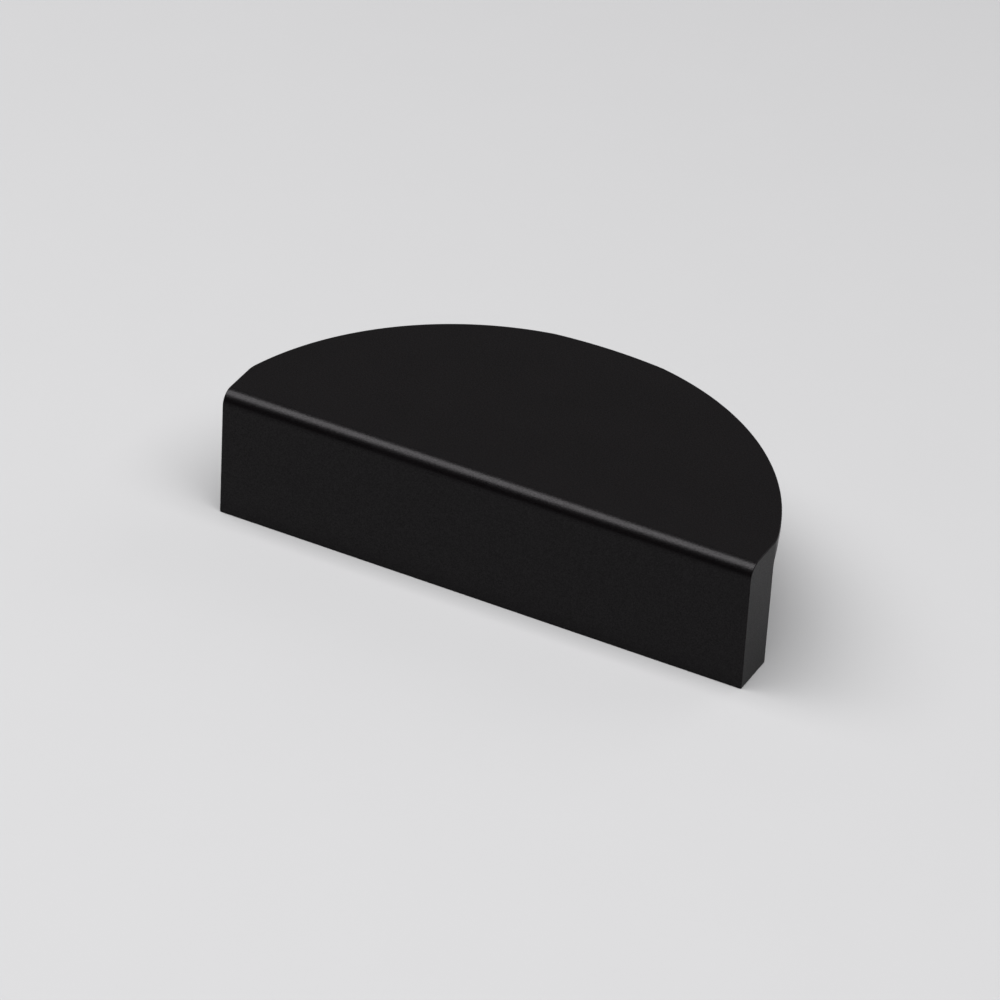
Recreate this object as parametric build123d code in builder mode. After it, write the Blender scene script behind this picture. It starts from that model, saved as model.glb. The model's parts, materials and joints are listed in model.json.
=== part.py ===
"""Half moon cabinet pull, one solid of aluminium.

A thick straight wall stands on the door by its narrow foot and carries a thin plate that reaches back
over the fingers. The plate is cut to a half moon, and the wall's section shows at each end.

Millimetres. The origin is on the mounting face, midway between the two screw holes. X runs along the
wall, Y from the wall to the crown of the half moon, Z away from the door.
"""
import os
from math import asin, radians, sqrt, tan

from build123d import *

# Overall sizes: along the wall, and from the mounting face to the top of the plate
length = 100.0
height = 24.4

# Wall: its back leans a little, so it is thicker at the plate than at the foot
foot_depth = 9.1
root_depth = 9.4

# Plate: the half moon is a circle's arc, dressed back to a flatter arc at its crown
plate_thickness = 1.5
arc_rise = 38.2
crown_width = 21.0
crown_drop = 0.4

# Rounded corners: the long front edge, the inside corner and the two ends of the arc
front_round = 2.6
finger_round = 3.7
end_round = 2.5

# Flat run of each end face past the wall, before the end of the arc is rounded
end_land = 0.1

# Every other outside edge is broken by this radius
edge_break = 0.2

# Two blind tapped holes in the foot, drilled to thread diameter less pitch
screw_spacing = 64.0
thread_diameter = 4.0
thread_pitch = 0.7
drill_depth = 12.0
drill_point_angle = 118.0
mouth_margin = 0.2

# Places across the section, from the wall's front face backwards
front = -foot_depth / 2
foot_back = foot_depth / 2
root_back = front + root_depth
underside = height - plate_thickness

# The arc of the half moon, centred on the middle of the wall
flank_radius = ((length / 2) ** 2 + arc_rise**2) / (2 * arc_rise)
end_turn = asin((flank_radius - arc_rise) / flank_radius)
arc_start = root_back + end_land + end_round * tan(end_turn / 2)
arc_top = arc_start + arc_rise
crown = arc_top - crown_drop
crown_corner = arc_top - flank_radius + sqrt(flank_radius**2 - (crown_width / 2) ** 2)

# Radii and depths of a screw hole
drill_radius = (thread_diameter - thread_pitch) / 2
mouth_radius = thread_diameter / 2 + mouth_margin
mouth_depth = mouth_radius - drill_radius
point_depth = drill_radius / tan(radians(drill_point_angle / 2))

# What a screw hole takes away: countersunk mouth, straight wall and drill point
with BuildPart() as screw_hole:
    with BuildSketch(Plane.XZ):
        with BuildLine():
            Polyline(
                (0, 0),
                (mouth_radius, 0),
                (drill_radius, mouth_depth),
                (drill_radius, drill_depth),
                (0, drill_depth + point_depth),
                close=True,
            )
        make_face()
    revolve(axis=Axis.Z)

with BuildPart() as pull:
    # The angle section, carried along the whole length
    with BuildSketch(Plane.YZ):
        with BuildLine():
            Polyline(
                (front, 0),
                (foot_back, 0),
                (root_back, underside),
                (crown, underside),
                (crown, height),
                (front, height),
                close=True,
            )
        make_face()
    extrude(amount=length / 2, both=True)
    inside_corner = pull.edges().sort_by_distance((0, root_back, underside))[0]
    fillet(inside_corner, radius=finger_round)
    front_edge = pull.edges().sort_by_distance((0, front, height))[0]
    fillet(front_edge, radius=front_round)

    # The half moon, cut straight down through the section
    with BuildSketch(Plane.XY) as plan:
        with BuildLine():
            Polyline(
                (-length / 2, arc_start),
                (-length / 2, front),
                (length / 2, front),
                (length / 2, arc_start),
            )
            RadiusArc((length / 2, arc_start), (crown_width / 2, crown_corner), -flank_radius)
            ThreePointArc((crown_width / 2, crown_corner), (0, crown), (-crown_width / 2, crown_corner))
            RadiusArc((-crown_width / 2, crown_corner), (-length / 2, arc_start), -flank_radius)
        make_face()
        _, arc_ends, _ = plan.vertices().group_by(Axis.Y)
        fillet(arc_ends, radius=end_round)
    extrude(amount=height, mode=Mode.INTERSECT)

    # The outlines of the foot, the underside and the top, with all the edges that run on from them.
    # Above the foot, the straight edges along the wall are where a rounded corner runs out flat.
    foot, under, top = pull.faces().filter_by(Axis.Z).sort_by(Axis.Z)
    outlines = foot.edges() + (under.edges() + top.edges()).filter_by(Axis.X, reverse=True)
    fillet(outlines, radius=edge_break)

    with GridLocations(screw_spacing, 0, 2, 1):
        add(screw_hole.part, mode=Mode.SUBTRACT)

os.makedirs("parts", exist_ok=True)
pull.part.label = "half_moon_pull"
export_step(pull.part, "parts/half_moon_pull.step")
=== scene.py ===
"""Half moon cabinet pull: its finished surface, its black anodised material and a small studio."""
import json
import math
from types import SimpleNamespace

import bpy
import numpy as np
from bpy.props import FloatProperty, FloatVectorProperty, PointerProperty
from bpy.types import Operator, Panel, PropertyGroup
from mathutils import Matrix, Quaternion, Vector


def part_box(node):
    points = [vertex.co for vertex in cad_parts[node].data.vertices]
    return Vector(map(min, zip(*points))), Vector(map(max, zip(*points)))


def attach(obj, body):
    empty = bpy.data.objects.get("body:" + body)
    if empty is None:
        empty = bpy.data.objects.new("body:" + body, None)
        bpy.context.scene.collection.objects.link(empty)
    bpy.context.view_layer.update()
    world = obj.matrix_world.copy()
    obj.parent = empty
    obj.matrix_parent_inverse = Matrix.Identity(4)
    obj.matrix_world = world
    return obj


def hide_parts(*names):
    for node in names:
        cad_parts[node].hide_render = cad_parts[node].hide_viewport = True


bl_info = {
    "name": "Half moon cabinet pull",
    "version": (1, 0, 0),
    "blender": (4, 5, 0),
    "location": "3D View > Sidebar > Pull",
    "description": "Makes a half moon cabinet pull in black anodising, and a studio to show it in",
    "category": "Object",
}

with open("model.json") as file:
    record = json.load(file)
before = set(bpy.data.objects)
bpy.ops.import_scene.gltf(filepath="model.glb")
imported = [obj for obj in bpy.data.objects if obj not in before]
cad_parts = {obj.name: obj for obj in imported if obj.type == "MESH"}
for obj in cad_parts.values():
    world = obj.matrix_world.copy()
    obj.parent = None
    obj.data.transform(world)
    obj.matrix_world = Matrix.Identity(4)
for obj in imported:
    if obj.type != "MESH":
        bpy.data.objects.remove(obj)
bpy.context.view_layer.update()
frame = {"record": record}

NODE = "half_moon_pull"
BODY = "root"
SLOT = "black_anodised"
MM = 0.001

# Steps along each stretch of the outline, of the section and of a hole
END_STEPS = 10
FLANK_STEPS = 50
MOUTH_STEPS = 24
INNER_STEPS = 26
CROWN_STEPS = 10
FOOT_STEPS = 4
BREAK_STEPS = 6
BACK_STEPS = 8
FINGER_STEPS = 14
UNDERSIDE_STEPS = 12
RIM_STEPS = 3
TOP_STEPS = 14
FRONT_ROUND_STEPS = 24
FRONT_STEPS = 8
THREAD_STEPS = 120

# The thread's wave, in pitches: half of its flat top, half of its foot, and the run over which
# it fades
THREAD_TOP = 1 / 16
THREAD_FOOT = 3 / 8
THREAD_FADE = 2

# Least length of a normal, for where a surface shrinks to a point
TINY = 1e-15

# Points closer than the welding distance become one. The shift, in such distances, keeps points
# on round numbers away from the edges of the welding cells.
WELD = 1e-7
WELD_SHIFT = 0.37

# Black anodising: detail of the two noises, their shares in the colour and their swings in
# roughness, and how far the finish of the cut ends reaches along the pull
CLOUD_DETAIL = 3
GRAIN_DETAIL = 2
CLOUD_SHARE = 0.6
GRAIN_SHARE = 0.4
CLOUD_SWING = 0.06
GRAIN_SWING = 0.08
CUT_REACH = 0.05 * MM

# Floor: half of its side, its gloss, and the shade, size and detail of its unevenness
FLOOR_REACH = 4.0
FLOOR_ROUGHNESS = 0.9
FLOOR_SPECULAR = 0.1
FLOOR_SHADE = 0.985
FLOOR_CLOUD = 0.02
FLOOR_DETAIL = 3

# Width in millimetres of the sensor that the lens is given for
SENSOR_WIDTH = 36

pull_low, pull_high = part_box(NODE)
mounts = {mount["name"]: mount for mount in frame["record"]["mounts"]}
screw_holes = mounts["screw_holes"]["dims"]


def length_setting(name, description, default):
    """A length that a user can change, in metres."""
    return FloatProperty(
        name=name, description=description, default=default, min=0, precision=5, unit="LENGTH")


def place_setting(name, description, default):
    """A place that a user can change, in metres."""
    return FloatVectorProperty(
        name=name, description=description, default=default, subtype="TRANSLATION", unit="LENGTH")


def colour_setting(name, description, default):
    """A colour that a user can change."""
    return FloatVectorProperty(
        name=name, description=description, default=default, min=0, max=1, subtype="COLOR")


def share_setting(name, description, default):
    """A number from 0 to 1 that a user can change."""
    return FloatProperty(
        name=name, description=description, default=default, min=0, max=1, subtype="FACTOR")


def index_setting(name, description, default):
    """An index of refraction that a user can change."""
    return FloatProperty(name=name, description=description, default=default, min=1, max=3)


def radiance_setting(name, description, default):
    """A brightness that a user can change, in watts per square metre and steradian."""
    return FloatProperty(name=name, description=description, default=default, min=0)


class PullSizes(PropertyGroup):
    """Sizes of the pull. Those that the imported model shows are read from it."""

    length: length_setting("Length", "Along the wall", pull_high.x - pull_low.x)
    height: length_setting(
        "Height", "From the mounting face to the top of the plate", pull_high.z - pull_low.z)
    foot_depth: length_setting(
        "Foot depth", "Thickness of the wall at the mounting face", -2 * pull_low.y)
    root_depth: length_setting(
        "Root depth", "Thickness of the wall where its back would meet the plate", 9.4 * MM)
    plate_thickness: length_setting(
        "Plate thickness", "Thickness of the half-moon plate", 1.5 * MM)
    arc_rise: length_setting(
        "Arc rise", "From the ends of the half moon's arc to its top", 38.2 * MM)
    crown: length_setting(
        "Crown", "From the middle of the foot to the crown of the half moon", pull_high.y)
    crown_width: length_setting("Crown width", "Width of the flatter arc at the crown", 21 * MM)
    crown_drop: length_setting(
        "Crown drop", "From the top of the half moon's arc down to the flatter arc", 0.4 * MM)
    front_round: length_setting("Front rounding", "Radius along the long front edge", 2.6 * MM)
    finger_round: length_setting(
        "Finger rounding", "Radius in the corner behind the wall", 3.7 * MM)
    edge_break: length_setting("Edge break", "Radius of every other outside edge", 0.2 * MM)
    screw_spacing: length_setting(
        "Screw spacing", "Between the two holes", screw_holes["spacing_x_mm"] * MM)
    drill_radius: length_setting(
        "Drill radius", "Radius of a hole before it is tapped", screw_holes["hole_r_mm"] * MM)
    drill_depth: length_setting("Drill depth", "Depth of a hole's straight wall", 12 * MM)
    thread_radius: length_setting("Thread radius", "Radius of the screw", 2 * MM)
    thread_pitch: length_setting("Thread pitch", "Climb of the thread in one turn", 0.7 * MM)
    thread_depth: length_setting(
        "Thread depth", "Depth at which the thread has faded out", 11.4 * MM)
    mouth_radius: length_setting(
        "Mouth radius", "Radius of a hole's countersunk mouth", 2.2 * MM)
    drill_point: FloatProperty(
        name="Drill point", description="Full angle of the cone at the end of a hole",
        default=math.radians(118), min=math.radians(60), max=math.radians(170), subtype="ANGLE")


class PullFinish(PropertyGroup):
    """Colours and grain of the black anodising."""

    dye: colour_setting("Dye", "Colour where the dye is deepest", (0.0005, 0.0003, 0.0004))
    pale_dye: colour_setting(
        "Pale dye", "Colour where the dye has taken least", (0.0012, 0.0008, 0.001))
    roughness: share_setting("Roughness", "Mean roughness of the drawn faces", 0.335)
    cut_roughness: share_setting("Cut roughness", "Mean roughness of the two cut ends", 0.39)
    dull_index: index_setting(
        "Dull index", "Index of refraction in the dimples, which reflect least", 1.1)
    bright_index: index_setting(
        "Bright index", "Index of refraction between the dimples, where most is reflected", 1.345)
    sheen: colour_setting("Sheen", "Tint of what the surface reflects", (1, 0.965, 1))
    cloud_size: length_setting("Cloud size", "Across the faint clouds in the dye", 9 * MM)
    grain_size: length_setting("Grain size", "Across one dimple of the blasting", 0.22 * MM)
    grain_depth: length_setting("Grain depth", "Depth of the blasting", 0.009 * MM)


class StudioSettings(PropertyGroup):
    """Floor, lights and camera."""

    floor_colour: colour_setting("Floor", "Colour of the floor", (0.294, 0.293, 0.297))
    floor_clear: length_setting(
        "Clear floor", "From the pull to where the floor starts to fade into the backdrop", 0.35)
    floor_fade: length_setting(
        "Floor fade", "From the pull to where the floor has become the backdrop", 1.0)
    backdrop: colour_setting(
        "Backdrop", "What the camera sees where the floor ends", (0.69, 0.69, 0.7))
    key_place: place_setting(
        "Key light", "Middle of the long panel that hangs level overhead", (-0.17, -0.177, 1.0))
    key_width: length_setting("Key width", "Of the panel overhead, along the pull", 2.3)
    key_depth: length_setting("Key depth", "Of the panel overhead, across the pull", 0.736)
    key_radiance: radiance_setting("Key radiance", "Brightness of the panel overhead", 8.15)
    back_place: place_setting(
        "Back light", "Middle of the wide dim panel that leans over from behind",
        (-0.4, 1.2, 0.85))
    back_size: length_setting("Back size", "Side of the square panel behind", 1.5)
    back_radiance: radiance_setting("Back radiance", "Brightness of the panel behind", 0.285)
    fill_place: place_setting(
        "Fill light", "Middle of the panel that lightens the shadow from behind",
        (0.75, 1.2, 0.8))
    fill_size: length_setting(
        "Fill size", "Side of the square panel that lightens the shadow", 1.0)
    fill_radiance: radiance_setting(
        "Fill radiance", "Brightness of the panel that lightens the shadow", 1.8)
    room_radiance: radiance_setting(
        "Room radiance", "Brightness of the room that lights the pull", 0.03)
    camera_place: place_setting("Camera", "Where the camera stands", (0.3545, -0.7290, 0.5642))
    camera_aim: place_setting(
        "Camera aim", "Point at the middle of the picture", (-0.00249, 0.00787, 0.0122))
    camera_roll: FloatProperty(
        name="Camera roll", description="Turn of the camera about its line of sight",
        default=math.radians(3.29), subtype="ANGLE")
    camera_lens: FloatProperty(
        name="Camera lens", description="Focal length in millimetres on a 36 mm sensor",
        default=209.19, min=1)


def pull_form(sizes):
    """The sizes, with the section's places and the half moon's arcs worked out from them."""
    form = SimpleNamespace(**{name: getattr(sizes, name) for name in PullSizes.__annotations__})
    form.half = form.length / 2
    form.front = -form.foot_depth / 2
    form.foot_back = form.foot_depth / 2
    form.root_back = form.front + form.root_depth
    form.underside = form.height - form.plate_thickness

    # The wall's back leans. The middles of the foot's broken edge and of the finger rounding
    # lie their own radius away from it.
    form.lean = math.atan((form.root_back - form.foot_back) / form.underside)
    sine, cosine = math.sin(form.lean), math.cos(form.lean)
    form.foot_break = form.foot_back + form.edge_break * (sine - 1) / cosine
    form.finger_z = form.underside - form.finger_round
    form.finger_y = form.foot_back + (form.finger_round + form.finger_z * sine) / cosine

    # The flank's arc stands on the two ends. The crown's arc is flatter and cuts off its top.
    form.flank_radius = (form.half**2 + form.arc_rise**2) / (2 * form.arc_rise)
    form.flank_middle = form.crown + form.crown_drop - form.flank_radius
    half_crown = form.crown_width / 2
    form.crown_corner = form.flank_middle + math.sqrt(form.flank_radius**2 - half_crown**2)
    crown_rise = form.crown - form.crown_corner
    form.crown_radius = (half_crown**2 + crown_rise**2) / (2 * crown_rise)

    # The end rounding leaves the end face at the foot's broken edge and touches the flank's arc
    # from inside
    start = form.foot_break - form.flank_middle
    spare = form.flank_radius - form.half
    form.end_round = (form.flank_radius**2 - form.half**2 - start**2) / (2 * spare)
    form.end_turn = math.atan2(start, form.half - form.end_round)

    # The ball that breaks the rim's lower edge keeps this far from the finger rounding's middle
    form.climb = form.finger_round + form.edge_break
    return form


def half_outline(form):
    """Right half of the plate's outline from above: points, outward normals and the half widths
    of the screw hole.

    Each point is an arc's middle plus the arc's radius along the normal (cos a, sin a). The angle
    a runs from 0 at the end face, over the end rounding and the flank, to a right angle at the
    crown. The corner between flank and crown is an arc of no radius. On the end rounding, the
    angles are those at which the rim climbs the finger rounding in even steps, and over the screw
    hole those at which x passes round the hole's mouth in even steps.
    """
    inset_round = form.end_round - form.edge_break
    last_y = form.foot_break + inset_round * math.sin(form.end_turn)
    last_climb = math.acos((form.finger_y - last_y) / form.climb)
    climb_y = form.finger_y - form.climb * np.cos(np.linspace(form.lean, last_climb, END_STEPS))
    end = np.concatenate([[0], np.arcsin((climb_y - form.foot_break) / inset_round)])

    round_mouth = np.linspace(0, math.pi, MOUTH_STEPS + 1)
    mouth_x = form.screw_spacing / 2 + form.mouth_radius * np.cos(round_mouth)
    mouth_turn = np.arccos(mouth_x / (form.flank_radius - form.edge_break))

    half_crown = form.crown_width / 2
    corner_turn = math.acos(half_crown / form.flank_radius)
    crown_turn = math.acos(half_crown / form.crown_radius)
    outer = np.linspace(form.end_turn, mouth_turn[0], FLANK_STEPS)[1:-1]
    inner = np.linspace(mouth_turn[-1], corner_turn, INNER_STEPS)[1:-1]
    flank = np.concatenate([outer, mouth_turn, inner])
    corner = np.array([(corner_turn + crown_turn) / 2])
    crown = np.linspace(crown_turn, math.pi / 2, CROWN_STEPS)[1:]

    turn = np.concatenate([end, flank, corner, crown])
    arcs = np.repeat(np.arange(4), [len(end), len(flank), len(corner), len(crown)])
    middles = np.array([
        (form.half - form.end_round, form.foot_break),
        (0, form.flank_middle),
        (half_crown, form.crown_corner),
        (0, form.crown - form.crown_radius),
    ])
    radii = np.array([form.end_round, form.flank_radius, 0, form.crown_radius])
    normals = np.stack([np.cos(turn), np.sin(turn)], -1)
    points = middles[arcs] + radii[arcs][:, None] * normals

    mouth = np.zeros(len(turn))
    first = len(end) + len(outer)
    mouth[first + 1:first + MOUTH_STEPS] = form.mouth_radius * np.sin(round_mouth[1:-1])
    return points, normals, mouth


def stretch(first, last, normal, count):
    """Flat stretch of every section: (1 - t) first + t last, for t evenly from 0 to 1."""
    t = np.linspace(0, 1, count)[None, :, None]
    points = first[:, None] * (1 - t) + last[:, None] * t
    normals = np.broadcast_to(np.asarray(normal), (len(first), 3))
    return points, np.broadcast_to(normals[:, None], points.shape)


def swing(middle, radius, first, last, count):
    """Round stretch of every section: the middle plus the radius along (0, cos a, sin a), with the
    angle a evenly from first to last.
    """
    t = np.linspace(0, 1, count)
    first, last = (np.broadcast_to(angle, len(middle))[:, None] for angle in (first, last))
    turn = first * (1 - t) + last * t
    ways = np.stack([np.zeros_like(turn), np.cos(turn), np.sin(turn)], -1)
    return middle[:, None] + radius * ways, ways


def broken_edge(ball, radius, first, last, count):
    """Broken edge of every section: a ball's middle plus its radius along ways from first to last.

    A way is (sin((1 - t) a) first + sin(t a) last) / sin a, a being the angle between the two, so
    it turns evenly.
    """
    t = np.linspace(0, 1, count)[None, :, None]
    turn = np.arccos(np.clip((first * last).sum(-1), -1, 1))[:, None, None]
    ways = np.sin((1 - t) * turn) * first[:, None] + np.sin(t * turn) * last[:, None]
    ways = ways / np.sin(turn)
    return ball[:, None] + radius * ways, ways


def pull_sections(form):
    """The angle section at every station along the outline, from the middle of the foot round and
    back to it.

    Each station has its own x and its own place for the rim, so towards the ends the rim runs out
    through the finger rounding. At the first and the last station it has come down to the foot, and
    the stretches behind the wall shrink to a point. Returns the points, their normals and the
    columns that belong to the rim.
    """
    points, normals, mouth = half_outline(form)
    mirror = np.array([-1, 1])
    points = np.concatenate([points, points[-2::-1] * mirror])
    normals = np.concatenate([normals, normals[-2::-1] * mirror])
    mouth = np.concatenate([mouth, mouth[-2::-1]])
    stations = len(points)
    radius = form.edge_break
    inset = points - radius * normals

    def at(y, z):
        y, z = (np.broadcast_to(part, stations) for part in (y, z))
        return np.stack([inset[:, 0], y, z], -1)

    up = np.broadcast_to(np.array([0, 0, 1.0]), (stations, 3))
    outward = np.concatenate([normals, np.zeros((stations, 1))], -1)
    lean = form.lean
    back_way = np.array([0, math.cos(lean), -math.sin(lean)])

    # The ball that breaks the rim's lower edge starts at the foot, climbs the wall and the finger
    # rounding, and then runs along the underside
    at_foot = normals[:, 1] == 0
    still_to_go = np.clip((form.finger_y - inset[:, 1]) / form.climb, 0, math.cos(lean))
    finger_end = math.pi - np.arccos(still_to_go)
    ball_z = np.where(at_foot, radius, form.finger_z + form.climb * np.sin(finger_end))
    low_ball = at(inset[:, 1], ball_z)
    high_ball = at(inset[:, 1], form.height - radius)
    down = -np.stack([np.zeros(stations), np.cos(finger_end), np.sin(finger_end)], -1)

    foot_edge = at(form.foot_break, radius)
    back_foot = foot_edge + radius * back_way
    finger_middle = at(form.finger_y, form.finger_z)
    finger, finger_ways = swing(
        finger_middle, form.finger_round, math.pi - lean, finger_end, FINGER_STEPS)
    finger = np.where(at_foot[:, None, None], back_foot[:, None], finger)

    round_start = form.front + form.front_round
    round_middle = at(round_start, form.height - form.front_round)
    round_end = at(form.front, form.height - form.front_round)
    front_edge = at(form.front + radius, radius)

    before_rim = [
        stretch(at(mouth, 0), at(form.foot_break, 0), -up, FOOT_STEPS),
        swing(foot_edge, radius, -math.pi / 2, -lean, BREAK_STEPS),
        stretch(back_foot, finger[:, 0], back_way, BACK_STEPS),
        (finger, -finger_ways),
        stretch(finger[:, -1], low_ball + radius * down, down, UNDERSIDE_STEPS),
    ]
    rim = [
        broken_edge(low_ball, radius, down, outward, BREAK_STEPS),
        stretch(low_ball + radius * outward, high_ball + radius * outward, outward, RIM_STEPS),
        broken_edge(high_ball, radius, outward, up, BREAK_STEPS),
    ]
    after_rim = [
        stretch(high_ball + radius * up, at(round_start, form.height), up, TOP_STEPS),
        swing(round_middle, form.front_round, math.pi / 2, math.pi, FRONT_ROUND_STEPS),
        stretch(round_end, at(form.front, radius), (0, -1, 0), FRONT_STEPS),
        swing(front_edge, radius, math.pi, 3 * math.pi / 2, BREAK_STEPS),
        stretch(at(form.front + radius, 0), at(-mouth, 0), -up, FOOT_STEPS),
    ]
    points, normals = (
        np.concatenate(arrays, 1) for arrays in zip(*before_rim, *rim, *after_rim))
    rim_start = sum(part.shape[1] for part, _ in before_rim)
    rim_end = rim_start + sum(part.shape[1] for part, _ in rim)
    return points, normals, rim_start, rim_end


def end_face(form, points, normals, rim_start, rim_end, way):
    """One end of the pull: the broken edge round the end section, and the flat face inside it.

    Along the edge, a point is the section's own, less the radius along its normal, plus the radius
    along cos a times that normal plus sin a times the way out. The rim's columns have that edge
    already. The flat face is a fan from the edge's last row to the middle of the wall.
    """
    radius = form.edge_break
    out = np.array([way, 0, 0])
    turn = np.linspace(0, math.pi / 2, BREAK_STEPS)[:, None, None]

    def edge(columns):
        ways = np.cos(turn) * normals[columns] + np.sin(turn) * out
        return points[columns] + radius * (ways - normals[columns]), ways

    before, after = edge(slice(0, rim_start)), edge(slice(rim_end, None))
    rim_wall = points[rim_start + BREAK_STEPS - 1:rim_end - BREAK_STEPS + 1]
    loop = np.concatenate([before[0][-1], rim_wall, after[0][-1]])
    middle = np.array([way * form.half, 0, form.height / 2])
    fan = np.stack([loop, np.broadcast_to(middle, loop.shape)])
    return [before, after, (fan, np.broadcast_to(out, fan.shape))]


def tapped_hole(form, middle):
    """A tapped hole: a radius r that depends on the turn b and the depth d, put at
    (r cos b, r sin b, d) from the middle of the hole's mouth.

    The wall is the drill's radius plus a flat-topped wave that climbs one pitch a turn and fades
    with depth. It is opened by the mouth's cone, which narrows as fast as it deepens, and closed by
    the drill point's cone.
    """
    point_depth = form.drill_radius / math.tan(form.drill_point / 2)
    full_depth = form.drill_depth + point_depth
    turn = np.linspace(0, 2 * math.pi, 2 * MOUTH_STEPS + 1)
    depth = np.concatenate([
        np.linspace(0, form.drill_depth, THREAD_STEPS),
        np.linspace(form.drill_depth, full_depth, BREAK_STEPS)[1:],
    ])
    turn, depth = np.meshgrid(turn, depth, indexing="ij")
    phase = (depth / form.thread_pitch - turn / (2 * math.pi)) % 1
    wave = (THREAD_FOOT - np.abs(phase - 0.5)) / (THREAD_FOOT - THREAD_TOP)
    fade = (form.thread_depth - depth) / (THREAD_FADE * form.thread_pitch)
    cut = np.clip(wave, 0, 1) * np.clip(fade, 0, 1)
    thread = form.drill_radius + (form.thread_radius - form.drill_radius) * cut
    mouth = form.mouth_radius - depth
    point = form.drill_radius * np.clip((full_depth - depth) / point_depth, 0, None)
    radius = np.minimum(np.maximum(thread, mouth), point)
    points = np.stack([middle + radius * np.cos(turn), radius * np.sin(turn), depth], -1)

    # The surface's own slopes give the normals, turned to face the hole's axis
    normals = np.cross(np.gradient(points, axis=0), np.gradient(points, axis=1))
    normals /= np.maximum(np.linalg.norm(normals, axis=-1, keepdims=True), TINY)
    inward = np.stack([-np.cos(turn), -np.sin(turn), np.zeros_like(turn)], -1)
    normals *= np.where((normals * inward).sum(-1, keepdims=True) < 0, -1, 1)
    return points, normals


def weld(grids):
    """Joins grids of points and normals into one mesh: points, triangles and a normal at each
    triangle's corner.

    Points closer than the welding distance become one. Each square of a grid is two triangles,
    those that shrink to a line are dropped, and each is turned to face the way its normals do.
    """
    triangles = []
    first = 0
    for points, _ in grids:
        rows, columns = points.shape[:2]
        index = first + np.arange(rows * columns).reshape(rows, columns)
        a, b, c, d = index[:-1, :-1], index[1:, :-1], index[1:, 1:], index[:-1, 1:]
        triangles += [np.stack(corners, -1).reshape(-1, 3) for corners in ((a, b, c), (a, c, d))]
        first += rows * columns
    triangles = np.concatenate(triangles)
    points = np.concatenate([grid.reshape(-1, 3) for grid, _ in grids])
    normals = np.concatenate([grid.reshape(-1, 3) for _, grid in grids])

    cells = np.round(points / WELD + WELD_SHIFT).astype(np.int64)
    _, kept, joined = np.unique(cells, axis=0, return_index=True, return_inverse=True)
    corners = joined.reshape(-1)[triangles]
    whole = (corners != np.roll(corners, 1, axis=1)).all(axis=1)
    triangles, corners = triangles[whole], corners[whole]
    points = points[kept]
    a, b, c = points[corners].transpose(1, 0, 2)
    facing = (np.cross(b - a, c - a) * normals[triangles].sum(1)).sum(1, keepdims=True)
    triangles = np.where(facing > 0, triangles, triangles[:, ::-1])
    corners = np.where(facing > 0, corners, corners[:, ::-1])
    return points, corners, normals[triangles]


def add_mesh(name, points, faces, material):
    """A mesh object at the origin, linked into the scene, with one material."""
    mesh = bpy.data.meshes.new(name)
    mesh.from_pydata(points.tolist(), [], faces.tolist())
    mesh.materials.append(material)
    thing = bpy.data.objects.new(name, mesh)
    bpy.context.scene.collection.objects.link(thing)
    return thing


class Signal:
    """An output of a shader node.

    Arithmetic on it adds Math nodes to its tree, and its method node adds any other node.
    """

    def __init__(self, tree, socket=None):
        self.tree = tree
        self.socket = socket

    def node(self, kind, settings=None, sockets=None, output=0):
        """Adds a node, its settings first and then each socket's value or link.

        Returns the output asked for.
        """
        made = self.tree.nodes.new(kind)
        for name, value in (settings or {}).items():
            setattr(made, name, value)
        for key, value in (sockets or {}).items():
            if isinstance(value, Signal):
                self.tree.links.new(value.socket, made.inputs[key])
            else:
                made.inputs[key].default_value = value
        return Signal(self.tree, made.outputs[output] if made.outputs else None)

    def maths(self, operation, first, second):
        """Adds a Math node on two numbers or signals."""
        return self.node("ShaderNodeMath", {"operation": operation}, {0: first, 1: second})

    def __add__(self, other):
        return self.maths("ADD", self, other)

    def __radd__(self, other):
        return self.maths("ADD", other, self)

    def __sub__(self, other):
        return self.maths("SUBTRACT", self, other)

    def __rsub__(self, other):
        return self.maths("SUBTRACT", other, self)

    def __mul__(self, other):
        return self.maths("MULTIPLY", self, other)

    def __rmul__(self, other):
        return self.maths("MULTIPLY", other, self)


def new_material(name):
    """An empty material and the start of its node tree."""
    material = bpy.data.materials.new(name)
    material.use_nodes = True
    material.node_tree.nodes.clear()
    return material, Signal(material.node_tree)


def noise(start, place, size, detail):
    """Soft noise from 0 to 1 with features of about this size, in metres."""
    sockets = {"Vector": place, "Scale": 1 / size, "Detail": detail}
    return start.node("ShaderNodeTexNoise", None, sockets)


def mix_colours(start, factor, first, second):
    """One colour turning into another as the factor goes from 0 to 1.

    A Mix node's sockets for numbers, vectors and colours have the same names, so the ones for
    colours are chosen by their places.
    """
    sockets = {0: factor, 6: (*first, 1), 7: (*second, 1)}
    return start.node("ShaderNodeMix", {"data_type": "RGBA"}, sockets, 2)


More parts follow.
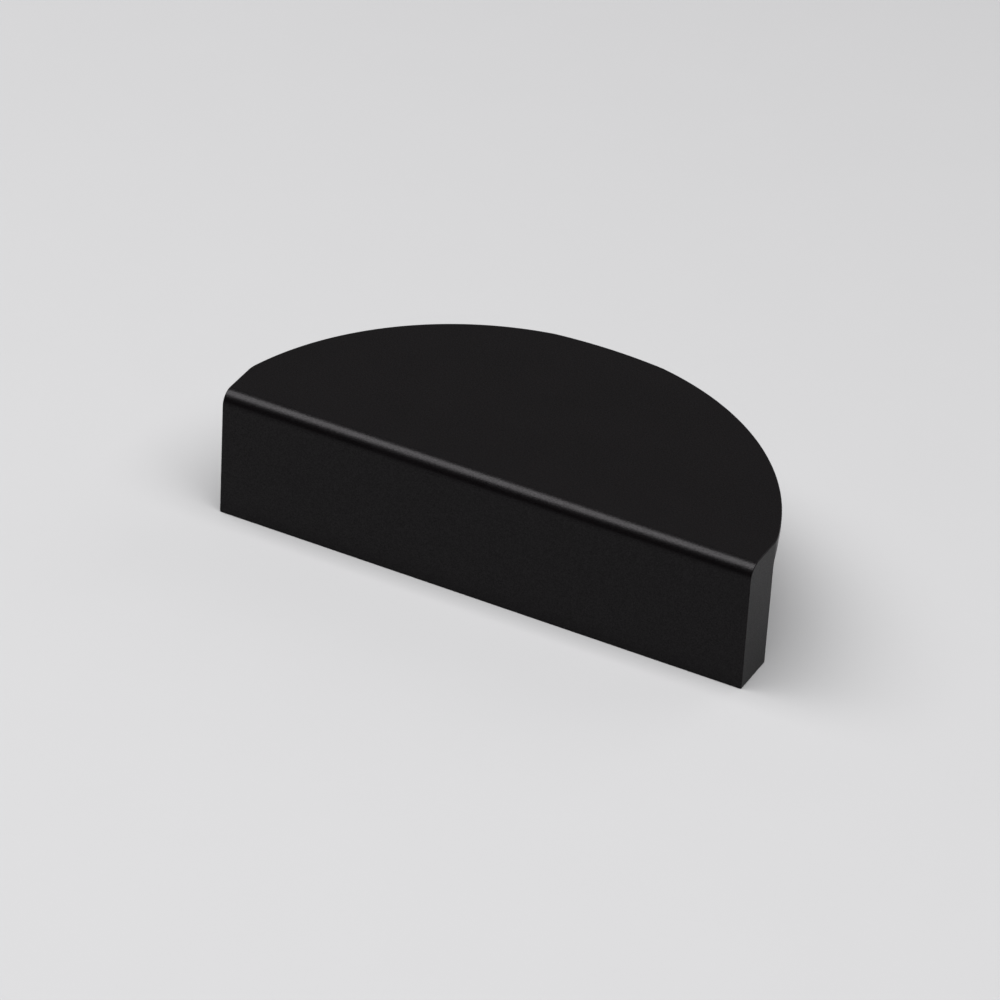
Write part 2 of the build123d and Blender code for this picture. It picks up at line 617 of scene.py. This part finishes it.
def black_anodising(finish, half_length):
    """Fine-blasted black anodising: faint clouds in the dye, the dimples of the blasting, and
    rougher cut ends.
    """
    material, start = new_material(SLOT)
    place = start.node("ShaderNodeTexCoord", output="Object")
    cloud = noise(start, place, finish.cloud_size, CLOUD_DETAIL)
    grain = noise(start, place, finish.grain_size, GRAIN_DETAIL)
    paleness = CLOUD_SHARE * cloud + GRAIN_SHARE * grain
    colour = mix_colours(start, paleness, finish.dye, finish.pale_dye)

    along = start.node("ShaderNodeSeparateXYZ", None, {"Vector": place}, "X")
    cut = start.maths("GREATER_THAN", along * along, (half_length - CUT_REACH) ** 2)
    mean_roughness = finish.roughness + (finish.cut_roughness - finish.roughness) * cut
    roughness = mean_roughness + CLOUD_SWING * (cloud - 0.5) + GRAIN_SWING * (grain - 0.5)

    dimples = start.node("ShaderNodeBump", None, {"Distance": finish.grain_depth, "Height": grain})
    dull, bright = (
        start.node("ShaderNodeBsdfPrincipled", None, {
            "Base Color": colour,
            "Roughness": roughness,
            "IOR": index,
            "Specular Tint": (*finish.sheen, 1),
            "Normal": dimples,
        })
        for index in (finish.dull_index, finish.bright_index)
    )
    surface = start.node("ShaderNodeMixShader", None, {0: grain, 1: dull, 2: bright})
    start.node("ShaderNodeOutputMaterial", None, {"Surface": surface})
    return material


def floor_paper(studio):
    """Pale matte paper with a faint unevenness. Far from the pull it fades into the backdrop."""
    material, start = new_material("floor_paper")
    place = start.node("ShaderNodeTexCoord", output="Object")
    cloud = noise(start, place, FLOOR_CLOUD, FLOOR_DETAIL)
    shade = tuple(FLOOR_SHADE * part for part in studio.floor_colour)
    paper = start.node("ShaderNodeBsdfPrincipled", None, {
        "Base Color": mix_colours(start, cloud, shade, studio.floor_colour),
        "Roughness": FLOOR_ROUGHNESS,
        "Specular IOR Level": FLOOR_SPECULAR,
    })
    glow = start.node("ShaderNodeEmission", None, {"Color": (*studio.backdrop, 1)})
    distance = start.node("ShaderNodeVectorMath", {"operation": "LENGTH"}, {0: place}, "Value")
    far = start.node("ShaderNodeMapRange", {"interpolation_type": "SMOOTHSTEP"}, {
        "Value": distance,
        "From Min": studio.floor_clear,
        "From Max": studio.floor_fade,
    })
    surface = start.node("ShaderNodeMixShader", None, {0: far, 1: paper, 2: glow})
    start.node("ShaderNodeOutputMaterial", None, {"Surface": surface})
    material.cycles.emission_sampling = "NONE"
    return material


def room_world(studio):
    """A dim room that lights the pull, with a pale backdrop that only the camera sees."""
    world = bpy.data.worlds.new("room")
    world.use_nodes = True
    world.node_tree.nodes.clear()
    start = Signal(world.node_tree)
    room = start.node("ShaderNodeBackground", None, {
        "Color": (1, 1, 1, 1),
        "Strength": studio.room_radiance,
    })
    backdrop = start.node("ShaderNodeBackground", None, {"Color": (*studio.backdrop, 1)})
    seen = start.node("ShaderNodeLightPath", output="Is Camera Ray")
    surface = start.node("ShaderNodeMixShader", None, {0: seen, 1: room, 2: backdrop})
    start.node("ShaderNodeOutputWorld", None, {"Surface": surface})
    return world


def add_panel_light(name, place, facing, width, depth, radiance):
    """An even panel that faces one way. Its power is pi times its radiance and its area."""
    light = bpy.data.lights.new(name, "AREA")
    light.shape = "RECTANGLE"
    light.size = width
    light.size_y = depth
    light.energy = math.pi * radiance * width * depth
    panel = bpy.data.objects.new(name, light)
    panel.location = place
    panel.rotation_euler = facing.to_track_quat("-Z", "Y").to_euler()
    panel.visible_camera = False
    bpy.context.scene.collection.objects.link(panel)


def add_camera(studio):
    """A camera that looks from its place to its aim, rolled about its line of sight."""
    lens = bpy.data.cameras.new("camera")
    lens.lens = studio.camera_lens
    lens.sensor_width = SENSOR_WIDTH
    camera = bpy.data.objects.new("camera", lens)
    camera.location = studio.camera_place
    sight = Vector(studio.camera_aim) - Vector(studio.camera_place)
    roll = Quaternion((0, 0, 1), studio.camera_roll)
    camera.rotation_euler = (sight.to_track_quat("-Z", "Y") @ roll).to_euler()
    bpy.context.scene.collection.objects.link(camera)
    return camera


class PULL_OT_body(Operator):
    """Make the pull, with true roundings and threads, and finish it in black anodising"""

    bl_idname = "pull.body"
    bl_label = "Make the pull"

    def execute(self, context):
        form = pull_form(context.scene.pull_sizes)
        points, normals, rim_start, rim_end = pull_sections(form)
        grids = [(points, normals)]
        grids += end_face(form, points[0], normals[0], rim_start, rim_end, 1)
        grids += end_face(form, points[-1], normals[-1], rim_start, rim_end, -1)
        grids += [tapped_hole(form, side * form.screw_spacing / 2) for side in (-1, 1)]
        points, faces, normals = weld(grids)
        finish = black_anodising(context.scene.pull_finish, form.half)
        piece = add_mesh("pull_body", points, faces, finish)
        piece.data.shade_smooth()
        piece.data.normals_split_custom_set(normals.reshape(-1, 3).tolist())
        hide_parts(NODE)
        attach(piece, BODY)
        return {"FINISHED"}


class PULL_OT_stage(Operator):
    """Lay the floor and set up the lights and the camera"""

    bl_idname = "pull.stage"
    bl_label = "Make the studio"

    def execute(self, context):
        scene = context.scene
        studio = scene.pull_studio
        sides = np.array([(-1, -1, 0), (1, -1, 0), (1, 1, 0), (-1, 1, 0)])
        floor = add_mesh("floor", FLOOR_REACH * sides, np.arange(4)[None], floor_paper(studio))

        add_panel_light(
            "key_panel", studio.key_place, Vector((0, 0, -1)),
            studio.key_width, studio.key_depth, studio.key_radiance)
        add_panel_light(
            "back_panel", studio.back_place, -Vector(studio.back_place),
            studio.back_size, studio.back_size, studio.back_radiance)
        add_panel_light(
            "fill_panel", studio.fill_place, -Vector(studio.fill_place),
            studio.fill_size, studio.fill_size, studio.fill_radiance)
        scene.world = room_world(studio)
        scene.view_settings.view_transform = "Standard"
        scene.camera = add_camera(studio)
        return {"FINISHED"}


class PULL_PT_panel(Panel):
    """Lists the sizes, the finish, the studio and the two buttons"""

    bl_idname = "PULL_PT_panel"
    bl_label = "Half moon cabinet pull"
    bl_space_type = "VIEW_3D"
    bl_region_type = "UI"
    bl_category = "Pull"

    def draw(self, context):
        scene = context.scene
        for operator, groups in (
            (PULL_OT_body, (scene.pull_sizes, scene.pull_finish)),
            (PULL_OT_stage, (scene.pull_studio,)),
        ):
            box = self.layout.box()
            for group in groups:
                for name in type(group).__annotations__:
                    box.prop(group, name)
            box.operator(operator.bl_idname)


CLASSES = (PullSizes, PullFinish, StudioSettings, PULL_OT_body, PULL_OT_stage, PULL_PT_panel)


def register():
    """Registers the classes and hangs the three groups of settings on the scene."""
    for each in CLASSES:
        bpy.utils.register_class(each)
    bpy.types.Scene.pull_sizes = PointerProperty(type=PullSizes)
    bpy.types.Scene.pull_finish = PointerProperty(type=PullFinish)
    bpy.types.Scene.pull_studio = PointerProperty(type=StudioSettings)


def unregister():
    """Takes away what register added."""
    del bpy.types.Scene.pull_studio
    del bpy.types.Scene.pull_finish
    del bpy.types.Scene.pull_sizes
    for each in reversed(CLASSES):
        bpy.utils.unregister_class(each)


def main():
    """Registers the add-on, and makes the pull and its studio."""
    register()
    bpy.ops.pull.body()
    bpy.ops.pull.stage()


if __name__ == "__main__":
    main()
